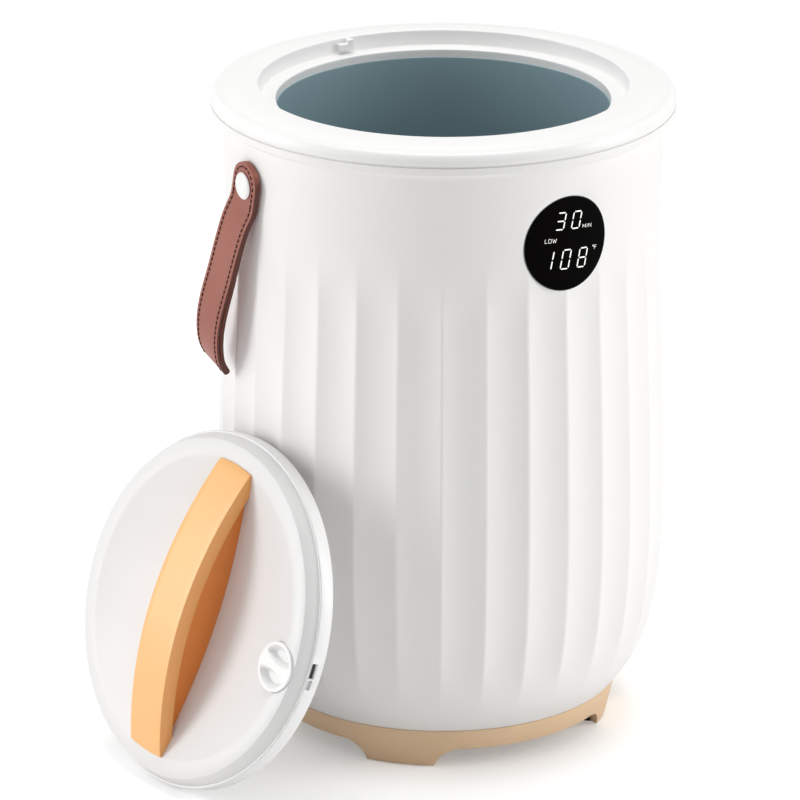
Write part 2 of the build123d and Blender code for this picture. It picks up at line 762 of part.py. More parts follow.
def make_lid_handle():
    turn = math.radians(90 + handle_turn)
    side = Plane(origin=(0, 0, 0), x_dir=(math.cos(turn), math.sin(turn), 0), z_dir=(math.sin(turn), -math.cos(turn), 0))
    stations = [-107 + 214 * i / 12 for i in range(13)]
    top = [(d, handle_height(d)) for d in stations]
    low = [(d, handle_height(d) - handle_thick) for d in stations]
    middle = [(d, handle_height(d) - handle_thick / 2) for d in stations]
    band_face = make_face(Curve() + [
        Spline(*top), Line(top[-1], low[-1]), Spline(*low[::-1]), Line(low[0], top[0]),
    ])
    band = side * extrude(band_face, handle_half_width, both=True)
    web_face = make_face(Curve() + [
        Spline(*middle), Line(middle[-1], (107, -20)), Line((107, -20), (-107, -20)), Line((-107, -20), middle[0]),
    ])
    web = side * extrude(web_face, handle_half_width - 1, both=True)
    # The web narrows towards the dish.
    taper = make_face(Polyline((-11.6, -20), (11.6, -20), (15.6, 20), (-15.6, 20), close=True))
    end = Plane(origin=(0, 0, 0), x_dir=(math.sin(turn), -math.cos(turn), 0), z_dir=(-math.cos(turn), -math.sin(turn), 0))
    web &= end * extrude(taper, 110, both=True)
    handle = (band + web) & column(0, 0, handle_reach, -30, 40)
    seat = [(r, z + 0.06) for r, z in dish_curve(0, 107.0)]
    handle -= turned_edges([Spline(*seat), Line(seat[-1], (107, -40)), Line((107, -40), (0, -40)), Line((0, -40), seat[0])])
    for x, y in handle_screw_spots():
        handle -= column(x, y, 1.6, -20, 3.5)
    return handle


def make_handle_screws():
    screws = []
    for x, y in handle_screw_spots():
        base = dish_height(72.0) - cover_sheet - 0.7
        screws.append(screw((x, y, base), (0, 0, 1), 3.2, 2.0, 1.55, 13.0))
    return Compound(screws)


def make_fragrance_cap():
    cap = column(0, 0, knob_radius, -7.6, 0.8)
    cap = chamfer(cap.faces().sort_by(Axis.Z)[-1].edges(), 0.5)
    cap += column(0, 0, 15.0, -11.0, -7.5)
    cap -= column(0, 0, 13.4, -12.0, -9.0)
    # A grip ridge between two scooped finger recesses.
    scoop_face = make_face(Curve() + [
        Line((2.6, 2.0), (3.2, -5.6)), ThreePointArc((3.2, -5.6), (10.0, -4.2), (15.2, 0.9)),
        Line((15.2, 0.9), (15.2, 2.0)), Line((15.2, 2.0), (2.6, 2.0)),
    ])
    scoop = extrude(Plane.XZ * scoop_face, 16, both=True) & column(0, 0, 14.9, -10, 5)
    cap -= [scoop, Rot(0, 0, 180) * scoop]
    spot = lid_spot(cap_distance, cap_turn)
    return Pos(*spot, 0) * (Rot(0, 0, 90 - 13) * cap)


def make_fragrance_cup():
    cup = column(0, 0, 17.0, -18.45, -12.2) - column(0, 0, 15.6, -17.2, -10)
    for x, y in vent_spots():
        cup -= column(x, y, 1.6, -19, -16)
    return Pos(*lid_spot(cap_distance, cap_turn), 0) * cup


def make_fragrance_pad():
    return Pos(*lid_spot(cap_distance, cap_turn), 0) * column(0, 0, 15.2, -17.1, -12.4)


pieces = {
    "outer_shell": make_outer_shell(),
    "top_rim": make_top_rim(),
    "rim_screws": make_rim_screws(),
    "inner_barrel": make_inner_barrel(),
    "base_ring": make_base_ring(),
    "base_plate": make_base_plate(),
    "foot_pads": make_foot_pads(),
    "plate_screws": make_plate_screws(),
    "base_screws": make_base_screws(),
    "foil_heater": make_foil_heater(),
    "insulation_wrap": make_insulation_wrap(),
    "bottom_insulation": make_bottom_insulation(),
    "thermostat": make_thermostat(),
    "thermal_fuse": make_thermal_fuse(),
    "temperature_sensor": make_temperature_sensor(),
    "display_lens": make_display_lens(),
    "display_digits": make_display_digits(),
    "display_housing": make_display_housing(),
    "display_board": make_display_board(),
    "display_cable": make_display_cable(),
    "control_board": make_control_board(),
    "relay": make_relay(),
    "filter_capacitor": make_filter_capacitor(),
    "board_screws": make_board_screws(),
    "power_inlet": make_power_inlet(),
    "inlet_pins": make_inlet_pins(),
    "inlet_leads": make_inlet_leads(),
    "heater_leads": make_heater_leads(),
    "left_stud": make_stud(-1),
    "right_stud": make_stud(1),
    "stud_nuts": make_stud_nuts(),
    "left_strap": make_strap(-1),
    "left_stitching": make_stitching(-1),
    "right_strap": make_strap(1),
    "right_stitching": make_stitching(1),
}
for name, shape in pieces.items():
    save(name, shape)

lid_pieces = {
    "lid_cover": make_lid_cover(),
    "lid_skirt": make_lid_skirt(),
    "lid_inner_plate": make_lid_inner_plate(),
    "lid_seal": make_lid_seal(),
    "lid_insulation": make_lid_insulation(),
    "lid_screws": make_lid_screws(),
    "lid_handle": make_lid_handle(),
    "handle_screws": make_handle_screws(),
    "fragrance_cap": make_fragrance_cap(),
    "fragrance_cup": make_fragrance_cup(),
    "fragrance_pad": make_fragrance_pad(),
}
for name, shape in lid_pieces.items():
    save(name, lid_plane() * shape)
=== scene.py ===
import math

import bpy
import numpy as np
from mathutils import Matrix, Vector


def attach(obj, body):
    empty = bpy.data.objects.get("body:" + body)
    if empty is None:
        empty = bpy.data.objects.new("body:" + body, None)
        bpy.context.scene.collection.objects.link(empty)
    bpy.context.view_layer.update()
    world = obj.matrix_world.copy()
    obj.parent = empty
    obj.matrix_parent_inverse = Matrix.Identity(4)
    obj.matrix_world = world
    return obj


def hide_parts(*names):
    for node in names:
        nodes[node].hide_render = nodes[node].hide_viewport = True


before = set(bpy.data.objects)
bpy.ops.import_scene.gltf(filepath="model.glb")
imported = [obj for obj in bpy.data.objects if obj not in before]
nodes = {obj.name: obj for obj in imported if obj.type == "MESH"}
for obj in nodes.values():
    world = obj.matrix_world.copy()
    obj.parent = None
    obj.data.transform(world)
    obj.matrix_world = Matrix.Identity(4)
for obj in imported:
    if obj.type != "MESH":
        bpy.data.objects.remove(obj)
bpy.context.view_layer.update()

scene = bpy.context.scene
print("frame loaded:", len(nodes), "nodes")


def cubicThrough(x, knots, values):
    # Natural cubic spline: one smooth curve through all the given points.
    knots = np.asarray(knots, float)
    values = np.asarray(values, float)
    h = np.diff(knots)
    n = len(knots)
    a = np.eye(n)
    b = np.zeros(n)
    k = np.arange(1, n - 1)
    a[k, k - 1] = h[:-1]
    a[k, k] = 2 * (h[:-1] + h[1:])
    a[k, k + 1] = h[1:]
    slope = np.diff(values) / h
    b[k] = 6 * (slope[1:] - slope[:-1])
    m = np.linalg.solve(a, b)
    x = np.clip(np.asarray(x, float), knots[0], knots[-1])
    i = np.clip(np.searchsorted(knots, x) - 1, 0, n - 2)
    left = (knots[i + 1] - x)
    right = (x - knots[i])
    return (
        (m[i] * left ** 3 + m[i + 1] * right ** 3) / (6 * h[i])
        + (values[i] / h[i] - m[i] * h[i] / 6) * left
        + (values[i + 1] / h[i] - m[i + 1] * h[i] / 6) * right
    )


def smoothStep(x, low, high):
    t = np.clip((x - low) / (high - low), 0, 1)
    return t * t * (3 - 2 * t)


def roundedPath(points, radii, steps=5, closed=False):
    # Each corner becomes an arc: cut back along both sides by radius times the tangent of half the turn.
    points = np.asarray(points, float)
    count = len(points)
    out = []
    for i in range(count):
        p = points[i]
        r = radii[i] if np.ndim(radii) else radii
        if r <= 0 or (not closed and i in (0, count - 1)):
            out.append(p[None])
            continue
        a = points[i - 1] - p
        b = points[(i + 1) % count] - p
        la, lb = np.linalg.norm(a), np.linalg.norm(b)
        a, b = a / la, b / lb
        half = math.acos(float(np.clip(a @ b, -1, 1))) / 2
        cut = min(r / math.tan(half), 0.49 * la, 0.49 * lb)
        r = cut * math.tan(half)
        middle = (a + b) / np.linalg.norm(a + b)
        centre = p + middle * r / math.sin(half)
        start, end = p + a * cut - centre, p + b * cut - centre
        t = np.linspace(0, 1, steps + 1)[:, None]
        angle = math.acos(float(np.clip(start @ end / (r * r), -1, 1)))
        arc = (np.sin((1 - t) * angle) * start + np.sin(t * angle) * end) / max(math.sin(angle), 1e-9)
        out.append(centre + arc)
    return np.concatenate(out)


def refine(path, step):
    # Straight runs of a path are divided so that no piece is longer than the step.
    path = np.asarray(path, float)
    lengths = np.linalg.norm(np.diff(path, axis=0), axis=1)
    out = [path[:1]]
    for i, length in enumerate(lengths):
        n = max(1, int(math.ceil(length / step)))
        t = np.arange(1, n + 1)[:, None] / n
        out.append(path[i] + (path[i + 1] - path[i]) * t)
    return np.concatenate(out)


def gridFaces(rows, columns, closeColumns, flip=False):
    i = np.arange(rows - 1)
    j = np.arange(columns if closeColumns else columns - 1)
    i, j = np.meshgrid(i, j, indexing="ij")
    i2, j2 = i + 1, (j + 1) % columns
    faces = np.stack([i * columns + j, i * columns + j2, i2 * columns + j2, i2 * columns + j], -1).reshape(-1, 4)
    return faces[:, ::-1] if flip else faces


def addMesh(name, vertices, faces, material, body, smooth=True):
    # The vertices are in millimetres.
    mesh = bpy.data.meshes.new(name)
    mesh.from_pydata((np.asarray(vertices) * 0.001).tolist(), [], [list(map(int, f)) for f in faces])
    mesh.validate()
    if smooth:
        mesh.shade_smooth()
    piece = bpy.data.objects.new(name, mesh)
    scene.collection.objects.link(piece)
    piece.data.materials.append(material)
    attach(piece, body)
    return piece


def addGrid(name, points, material, body, closeColumns=False, flip=False):
    rows, columns = points.shape[:2]
    faces = gridFaces(rows, columns, closeColumns, flip=flip)
    return addMesh(name, points.reshape(-1, 3), faces, material, body)


def spun(profile, steps):
    # A profile of (radius, height) turned about the vertical axis.
    profile = np.asarray(profile, float)
    turn = np.linspace(0, 2 * math.pi, steps, endpoint=False)
    r = profile[:, 0][:, None]
    z = np.repeat(profile[:, 1][:, None], steps, 1)
    return np.stack([r * np.cos(turn), r * np.sin(turn), z], -1)


def addBevel(piece, width, angle, segments):
    # The width is in millimetres.
    piece.data.shade_smooth()
    bevel = piece.modifiers.new("softEdge", "BEVEL")
    bevel.width = width * 0.001
    bevel.segments = segments
    bevel.limit_method = "ANGLE"
    bevel.angle_limit = math.radians(angle)
    bevel.harden_normals = True
    bevel.miter_outer = "MITER_ARC"


def newGroup(name, inputs, outputs):
    group = bpy.data.node_groups.new(name, "ShaderNodeTree")
    for socketName, kind, value in inputs:
        socket = group.interface.new_socket(socketName, in_out="INPUT", socket_type=kind)
        if value is not None:
            socket.default_value = value
    for socketName, kind in outputs:
        group.interface.new_socket(socketName, in_out="OUTPUT", socket_type=kind)
    inside = group.nodes.new("NodeGroupInput")
    outside = group.nodes.new("NodeGroupOutput")
    return group, inside, outside


def makeGrainGroup():
    # Two sizes of noise, added, drive a small bump.
    group, inside, outside = newGroup(
        "grainBump",
        [("Vector", "NodeSocketVector", None), ("Fine", "NodeSocketFloat", 900.0),
         ("Coarse", "NodeSocketFloat", 60.0), ("Height", "NodeSocketFloat", 0.00002)],
        [("Normal", "NodeSocketVector"), ("Mask", "NodeSocketFloat")],
    )
    fine = group.nodes.new("ShaderNodeTexNoise")
    fine.inputs["Detail"].default_value = 3.0
    coarse = group.nodes.new("ShaderNodeTexNoise")
    coarse.inputs["Detail"].default_value = 2.0
    total = group.nodes.new("ShaderNodeMath")
    total.operation = "MULTIPLY_ADD"
    total.inputs[1].default_value = 0.7
    bump = group.nodes.new("ShaderNodeBump")
    bump.inputs["Strength"].default_value = 1.0
    links = group.links
    links.new(inside.outputs["Vector"], fine.inputs["Vector"])
    links.new(inside.outputs["Vector"], coarse.inputs["Vector"])
    links.new(inside.outputs["Fine"], fine.inputs["Scale"])
    links.new(inside.outputs["Coarse"], coarse.inputs["Scale"])
    links.new(coarse.outputs["Fac"], total.inputs[0])
    links.new(fine.outputs["Fac"], total.inputs[2])
    links.new(total.outputs[0], bump.inputs["Height"])
    links.new(inside.outputs["Height"], bump.inputs["Distance"])
    links.new(bump.outputs["Normal"], outside.inputs["Normal"])
    links.new(coarse.outputs["Fac"], outside.inputs["Mask"])
    return group


grainGroup = makeGrainGroup()


def newMaterial(name, settings):
    # One Principled surface with a fine grain and a varied roughness. Where a second colour is given,
    # a soft noise mixes the two.
    material = bpy.data.materials.new(name)
    material.use_nodes = True
    tree = material.node_tree
    links = tree.links
    shader = tree.nodes["Principled BSDF"]
    place = tree.nodes.new("ShaderNodeTexCoord")
    grain = tree.nodes.new("ShaderNodeGroup")
    grain.node_tree = grainGroup
    grain.inputs["Fine"].default_value = settings.get("fine", 900.0)
    grain.inputs["Coarse"].default_value = settings.get("coarse", 40.0)
    grain.inputs["Height"].default_value = settings.get("height", 0.00002)
    links.new(place.outputs["Object"], grain.inputs["Vector"])
    links.new(grain.outputs["Normal"], shader.inputs["Normal"])
    shader.inputs["Base Color"].default_value = (*settings["color"], 1)
    if "colorB" in settings:
        mix = tree.nodes.new("ShaderNodeMix")
        mix.data_type = "RGBA"
        mix.inputs["A"].default_value = (*settings["color"], 1)
        mix.inputs["B"].default_value = (*settings["colorB"], 1)
        links.new(grain.outputs["Mask"], mix.inputs["Factor"])
        links.new(mix.outputs["Result"], shader.inputs["Base Color"])
    rough = tree.nodes.new("ShaderNodeMapRange")
    rough.inputs["From Min"].default_value = 0.3
    rough.inputs["From Max"].default_value = 0.7
    low, high = settings.get("roughness", (0.4, 0.5))
    rough.inputs["To Min"].default_value = low
    rough.inputs["To Max"].default_value = high
    links.new(grain.outputs["Mask"], rough.inputs["Value"])
    links.new(rough.outputs["Result"], shader.inputs["Roughness"])
    shader.inputs["Metallic"].default_value = settings.get("metallic", 0.0)
    shader.inputs["Specular IOR Level"].default_value = settings.get("specular", 0.5)
    material.diffuse_color = (*settings["color"], 1)
    return material, tree, shader


def simpleMaterial(name, **settings):
    return newMaterial(name, settings)[0]


bodyWhite = simpleMaterial("bodyWhite", color=(0.86, 0.85, 0.84), colorB=(0.84, 0.83, 0.815), coarse=9.0,
                           fine=1400.0, height=0.000012, roughness=(0.38, 0.46))
rimWhite = simpleMaterial("rimWhite", color=(0.87, 0.865, 0.86), colorB=(0.85, 0.845, 0.835), coarse=9.0,
                          fine=1400.0, height=0.00001, roughness=(0.3, 0.38))
# The lid's white is a darker copy of the same white plastic: painted shade on the dish.
lidShadedWhite = simpleMaterial("lidShadedWhite", color=(0.765, 0.76, 0.755), colorB=(0.75, 0.745, 0.74), coarse=12.0,
                          fine=1400.0, height=0.00001, roughness=(0.34, 0.44))
skirtWhite = simpleMaterial("skirtWhite", color=(0.88, 0.875, 0.87), colorB=(0.87, 0.865, 0.86), coarse=12.0,
                            fine=1400.0, height=0.00001, roughness=(0.3, 0.4))
baseTan = simpleMaterial("baseTan", color=(0.77, 0.55, 0.35), colorB=(0.73, 0.51, 0.315), coarse=14.0,
                         fine=1200.0, height=0.00002, roughness=(0.42, 0.5))
tealCoat = simpleMaterial("tealCoat", color=(0.245, 0.355, 0.395), colorB=(0.27, 0.385, 0.425), coarse=8.0,
                          fine=1600.0, height=0.00003, roughness=(0.32, 0.42), specular=0.5)
blackGlass = simpleMaterial("blackGlass", color=(0.002, 0.0016, 0.0015), colorB=(0.0024, 0.002, 0.0018),
                            coarse=20.0, fine=300.0, height=0.0, roughness=(0.06, 0.1), specular=0.015)
# The grey ring round the glass's rim is a painted highlight.
glassRimHighlight = simpleMaterial("glassRimHighlight", color=(0.2, 0.2, 0.21), colorB=(0.14, 0.14, 0.15), coarse=60.0, fine=300.0,
                           height=0.0, roughness=(0.15, 0.25))
threadBrown = simpleMaterial("threadBrown", color=(0.055, 0.02, 0.014), colorB=(0.035, 0.014, 0.01), coarse=900.0,
                             fine=6000.0, height=0.00003, roughness=(0.7, 0.8), specular=0.2)
darkRubber = simpleMaterial("darkRubber", color=(0.03, 0.028, 0.026), fine=2500.0, height=0.00004,
                            roughness=(0.65, 0.8))
sealGrey = simpleMaterial("sealGrey", color=(0.45, 0.45, 0.44), fine=2000.0, height=0.00002, roughness=(0.5, 0.6))
zincSteel = simpleMaterial("zincSteel", color=(0.55, 0.55, 0.56), colorB=(0.48, 0.48, 0.5), coarse=300.0,
                           fine=3000.0, height=0.00001, roughness=(0.25, 0.4), metallic=1.0)
foilSilver = simpleMaterial("foilSilver", color=(0.75, 0.75, 0.76), colorB=(0.6, 0.6, 0.62), coarse=90.0,
                            fine=500.0, height=0.0002, roughness=(0.2, 0.35), metallic=1.0)
feltCream = simpleMaterial("feltCream", color=(0.66, 0.61, 0.5), colorB=(0.55, 0.5, 0.4), coarse=160.0,
                           fine=1800.0, height=0.0005, roughness=(0.85, 0.95))
boardGreen = simpleMaterial("boardGreen", color=(0.015, 0.09, 0.035), colorB=(0.02, 0.12, 0.05), coarse=200.0,
                            fine=900.0, height=0.00002, roughness=(0.3, 0.4))
blackPlastic = simpleMaterial("blackPlastic", color=(0.02, 0.02, 0.021), fine=2200.0, height=0.00004,
                              roughness=(0.45, 0.6))
cableGrey = simpleMaterial("cableGrey", color=(0.3, 0.3, 0.3), fine=1500.0, height=0.00002, roughness=(0.5, 0.6))
brassPin = simpleMaterial("brassPin", color=(0.7, 0.5, 0.2), colorB=(0.6, 0.42, 0.17), coarse=400.0, fine=2500.0,
                          height=0.00001, roughness=(0.25, 0.35), metallic=1.0)
capYellow = simpleMaterial("capYellow", color=(0.7, 0.42, 0.05), fine=1500.0, height=0.00002, roughness=(0.4, 0.5))
knobWhite = simpleMaterial("knobWhite", color=(0.86, 0.855, 0.85), colorB=(0.84, 0.835, 0.83), coarse=20.0,
                           fine=1600.0, height=0.00001, roughness=(0.28, 0.36))
ceramicWhite = simpleMaterial("ceramicWhite", color=(0.75, 0.74, 0.7), fine=1500.0, height=0.00002,
                              roughness=(0.25, 0.35))

# The lid's own frame, in millimetres: origin at the middle of the dish's edge, n pointing out of the lid.
lidFrame = {
    "origin": (-215.4, -15.4, 123.7), "u": (0.0915016, -0.9958049, 0.0), "v": (0.3159735, 0.0290339, 0.9483237),
    "n": (-0.9443454, -0.0867731, 0.3173047),
}

# strapAcross runs along the width of both straps.
strapAcross = (0.0, -0.9659, -0.2588)
leather = {
    "color": (0.365, 0.135, 0.102), "colorB": (0.30, 0.105, 0.078), "coarse": 22.0, "fine": 1500.0,
    "height": 0.00006, "roughness": (0.45, 0.57), "specular": 0.28,
}
# Tone by how far the surface faces along the strap's width: the broad face, the corner, the cut edge. The corner's
# lighter tone is a painted highlight.
leatherTones = {
    "face": (0.25, (1, 1, 1, 1)), "corner": (0.6, (1.35, 1.3, 1.28, 1)), "cut": (0.97, (0.34, 0.32, 0.32, 1)),
}


def makeLeather():
    # Fine pebbled grain on a red-brown hide; cut edges are darker, and the lighter line at the corner is a painted
    # highlight.
    material, tree, shader = newMaterial("strapLeather", leather)
    links = tree.links
    face = next(n for n in tree.nodes if n.type == "MIX")
    geometry = tree.nodes.new("ShaderNodeNewGeometry")
    turn = tree.nodes.new("ShaderNodeVectorTransform")
    turn.vector_type = "NORMAL"
    turn.convert_from = "WORLD"
    turn.convert_to = "OBJECT"
    links.new(geometry.outputs["Normal"], turn.inputs["Vector"])
    across = tree.nodes.new("ShaderNodeVectorMath")
    across.operation = "DOT_PRODUCT"
    across.inputs[1].default_value = strapAcross
    links.new(turn.outputs["Vector"], across.inputs[0])
    size = tree.nodes.new("ShaderNodeMath")
    size.operation = "ABSOLUTE"
    links.new(across.outputs["Value"], size.inputs[0])
    ramp = tree.nodes.new("ShaderNodeValToRGB")
    first, last = ramp.color_ramp.elements
    first.position, first.color = leatherTones["face"]
    last.position, last.color = leatherTones["cut"]
    # The lighter corner line: a painted highlight.
    shine = ramp.color_ramp.elements.new(leatherTones["corner"][0])
    shine.color = leatherTones["corner"][1]
    links.new(size.outputs[0], ramp.inputs["Fac"])
    tint = tree.nodes.new("ShaderNodeMix")
    tint.data_type = "RGBA"
    tint.blend_type = "MULTIPLY"
    tint.inputs["Factor"].default_value = 1.0
    links.new(face.outputs["Result"], tint.inputs["A"])
    links.new(ramp.outputs["Color"], tint.inputs["B"])
    links.new(tint.outputs["Result"], shader.inputs["Base Color"])
    return material


# The handle's tones: painted light on the outward face, painted shade on the band's edge and on the web under it.
handleOrangeShading = {"face": (0.91, 0.49, 0.17), "edge": (0.85, 0.37, 0.10), "web": (0.78, 0.225, 0.022),
                "rise": 21.5, "top": 0.8, "halfLength": 105.0, "thick": 11.0, "turn": 85.0,
                "facing": (0.2, 0.85), "softLine": 0.0003}


def makeHandleShadedOrange():
    # Satin orange in three tones: the face that looks out of the lid, the band's edge, and the web under it, as lit
    # and shaded copies of one orange: painted light on the face, painted shade on the edge and the web.
    # Band and web part at height = top + rise x (1 - (distance / half length) squared) - thickness.
    material, tree, shader = newMaterial("handleOrange", {
        "color": handleOrangeShading["edge"], "coarse": 12.0, "fine": 1200.0, "height": 0.000015,
        "roughness": (0.36, 0.44), "specular": 0.9,
    })
    links = tree.links

    def dotWith(source, axis):
        node = tree.nodes.new("ShaderNodeVectorMath")
        node.operation = "DOT_PRODUCT"
        node.inputs[1].default_value = axis
        links.new(source, node.inputs[0])
        return node.outputs["Value"]

    def calculate(operation, first, second=None, third=None):
        node = tree.nodes.new("ShaderNodeMath")
        node.operation = operation
        for socket, value in zip(node.inputs, (first, second, third)):
            if isinstance(value, (int, float)):
                socket.default_value = value
            elif value is not None:
                links.new(value, socket)
        return node.outputs[0]

    def ramped(source, low, high):
        node = tree.nodes.new("ShaderNodeMapRange")
        node.interpolation_type = "SMOOTHSTEP"
        node.inputs["From Min"].default_value = low
        node.inputs["From Max"].default_value = high
        links.new(source, node.inputs["Value"])
        return node.outputs["Result"]

    def blended(share, first, second):
        node = tree.nodes.new("ShaderNodeMix")
        node.data_type = "RGBA"
        links.new(share, node.inputs["Factor"])
        for socket, value in ((node.inputs["A"], first), (node.inputs["B"], second)):
            if isinstance(value, tuple):
                socket.default_value = (*value, 1)
            else:
                links.new(value, socket)
        return node.outputs["Result"]

    origin = Vector(lidFrame["origin"]) * 0.001
    axis = Vector(lidFrame["n"])
    turned = math.radians(handleOrangeShading["turn"])
    along = math.cos(turned) * Vector(lidFrame["u"]) + math.sin(turned) * Vector(lidFrame["v"])
    place = next(n for n in tree.nodes if n.type == "TEX_COORD")
    turn = tree.nodes.new("ShaderNodeVectorTransform")
    turn.vector_type = "NORMAL"
    turn.convert_from = "WORLD"
    turn.convert_to = "OBJECT"
    links.new(tree.nodes.new("ShaderNodeNewGeometry").outputs["Normal"], turn.inputs["Vector"])
    outward = ramped(dotWith(turn.outputs["Vector"], lidFrame["n"]), *handleOrangeShading["facing"])
    height = calculate("SUBTRACT", dotWith(place.outputs["Object"], lidFrame["n"]), origin.dot(axis))
    distance = calculate("SUBTRACT", dotWith(place.outputs["Object"], tuple(along)), origin.dot(along))
    square = calculate("MULTIPLY", distance, distance)
    bend = handleOrangeShading["rise"] / handleOrangeShading["halfLength"] ** 2 * 1000
    start = (handleOrangeShading["top"] + handleOrangeShading["rise"] - handleOrangeShading["thick"]) * 0.001
    above = calculate("MULTIPLY_ADD", square, bend, height)
    band = ramped(above, start - handleOrangeShading["softLine"], start + handleOrangeShading["softLine"])
    flank = blended(band, handleOrangeShading["web"], handleOrangeShading["edge"])
    # Face lighter, edge and web darker by facing and height: painted light and painted shade.
    links.new(blended(outward, flank, handleOrangeShading["face"]), shader.inputs["Base Color"])
    return material


glow = {"color": (0.75, 0.74, 0.72), "height": 0.0, "specular": 0.1}
glowLight = {"color": (1.0, 0.98, 0.94), "strength": 0.55}


def makeGlow():
    # Lit display marks: the light comes from the surface itself.
    material, _, shader = newMaterial("litMarks", glow)
    shader.inputs["Emission Color"].default_value = (*glowLight["color"], 1)
    shader.inputs["Emission Strength"].default_value = glowLight["strength"]
    return material


handleOrange = makeHandleShadedOrange()
strapLeather = makeLeather()
litMarks = makeGlow()

nodeMaterials = {
    "base_ring": baseTan, "base_plate": baseTan, "foot_pads": darkRubber,
    "rim_screws": zincSteel, "plate_screws": zincSteel, "base_screws": zincSteel, "board_screws": zincSteel,
    "stud_nuts": zincSteel, "lid_screws": zincSteel, "handle_screws": zincSteel, "thermostat": zincSteel,
    "temperature_sensor": zincSteel, "foil_heater": foilSilver, "insulation_wrap": feltCream,
    "bottom_insulation": feltCream, "lid_insulation": feltCream, "fragrance_pad": feltCream,
    "thermal_fuse": ceramicWhite, "display_housing": blackPlastic, "display_board": boardGreen,
    "control_board": boardGreen, "relay": blackPlastic, "filter_capacitor": capYellow,
    "display_cable": cableGrey, "inlet_leads": cableGrey, "heater_leads": cableGrey,
    "power_inlet": blackPlastic, "inlet_pins": brassPin, "lid_inner_plate": lidShadedWhite, "lid_seal": sealGrey,
    "fragrance_cap": lidShadedWhite, "fragrance_cup": lidShadedWhite, "outer_shell": bodyWhite, "top_rim": rimWhite,
    "inner_barrel": tealCoat, "lid_cover": lidShadedWhite, "lid_skirt": skirtWhite, "lid_handle": handleOrange,
    "left_stud": rimWhite, "right_stud": rimWhite, "display_lens": blackGlass, "left_strap": strapLeather,
    "right_strap": strapLeather, "left_stitching": threadBrown, "right_stitching": threadBrown,
    "display_digits": litMarks,
}
for nodeName, material in nodeMaterials.items():
    data = nodes[nodeName].data
    data.materials.clear()
    data.materials.append(material)
print("materials made")


wall = {
    "radii": [123.9, 136.3, 145.8, 151.9, 155.2, 156.5, 155.6, 153.3, 150.6, 150.5, 151.6],
    "heights": [29.3, 46.0, 67.0, 92.1, 121.4, 163.2, 217.7, 280.4, 343.2, 397.6, 429.0],
    "flutes": 32, "depth": 3.0, "columnsPerFlute": 20, "fadeLow": (44.0, 98.0), "fadeHigh": (326.0, 384.0),
    "rows": 210, "from": 29.9, "to": 429.0, "easing": 0.12, "easeOver": (218, 330),
    "footPath": [(118.4, 29.3), (123.6, 29.3), (124.5, 30.1)], "footCorners": [0, 0.5, 0],
    "neckPath": [(151.65, 430.0), (151.9, 440.2), (158.8, 441.4), (160.0, 442.6), (160.0, 447.5), (158.8, 447.5),
                 (158.8, 448.4)],
    "neckCorners": [0, 7.5, 1.2, 0.9, 0.5, 0.1, 0],
}
# The pad behind the display, and the opening for the power inlet at the rear.
pad = {"height": 385.0, "radius": 150.4, "rise": 3.0, "from": 33.8, "to": 41.0, "behind": 900}
inletOpening = {"height": 94.0, "halfWidth": 12.0, "halfHeight": 8.0}


def makeWall():
    # Radius = smooth profile minus depth x (1 - t^2), t running -1..1 across each flute;
    # the depth fades in above the foot and out below the display.
    count = wall["flutes"] * wall["columnsPerFlute"]
    turn = np.linspace(0, 2 * math.pi, count, endpoint=False)
    place = turn / (2 * math.pi) * wall["flutes"]
    across = 2 * (place - np.floor(place)) - 1
    height = np.linspace(wall["from"], wall["to"], wall["rows"])
    radius = cubicThrough(height, wall["heights"], wall["radii"])
    fade = smoothStep(height, *wall["fadeLow"]) * (1 - smoothStep(height, *wall["fadeHigh"]))
    depth = wall["depth"] * fade * (1 - wall["easing"] * smoothStep(height, *wall["easeOver"]))
    r = radius[:, None] - depth[:, None] * (1 - across ** 2)[None]
    # Behind the display the wall is held back to a pad just under the glass.
    away = np.hypot(r * np.cos(turn), height[:, None] - pad["height"]) + pad["behind"] * (np.sin(turn) > 0)
    held = pad["radius"] + pad["rise"] * smoothStep(away, pad["from"], pad["to"])
    r = np.where(away < pad["to"], np.minimum(r, held), r)
    fluted = np.stack([r * np.cos(turn), r * np.sin(turn), np.repeat(height[:, None], count, 1)], -1)
    foot = spun(refine(roundedPath(wall["footPath"], wall["footCorners"]), 1.0)[:-1], count)
    neck = spun(refine(roundedPath(wall["neckPath"], wall["neckCorners"], 7), 1.2), count)
    points = np.concatenate([foot, fluted, neck])
    faces = gridFaces(len(points), count, True)
    flat = points.reshape(-1, 3)
    middle = flat[faces].mean(1)
    hole = (np.abs(middle[:, 0]) < inletOpening["halfWidth"]) & (middle[:, 1] > 0)
    hole &= np.abs(middle[:, 2] - inletOpening["height"]) < inletOpening["halfHeight"]
    piece = addMesh("flutedWall", flat, faces[~hole], bodyWhite, "bucket")
    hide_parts("outer_shell")


makeWall()
print("wall made")


def makeRim():
    crown = np.linspace(160.0, 129.0, 26)
    crownHeight = cubicThrough(-crown, [-160.0, -158.6, -154.0, -146.0, -136.0, -129.0],
                               [452.6, 455.2, 457.0, 458.7, 459.75, 459.9])
    lower = roundedPath([(158.6, 447.95), (158.6, 448.6), (160.0, 448.6), (160.0, 452.2)], [0, 0.1, 0.6, 0], 4)
    seat = roundedPath([(129.0, 459.9), (127.3, 459.85), (126.3, 449.3), (115.0, 449.3), (115.0, 443.4)],
                       [0, 0.9, 0.6, 0.9, 0], 5)
    profile = np.concatenate([lower, np.stack([crown, crownHeight], 1)[1:], seat[1:]])
    piece = addGrid("rimRing", spun(refine(profile, 1.5), 256), rimWhite, "bucket",
                    closeColumns=True)
    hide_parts("top_rim")


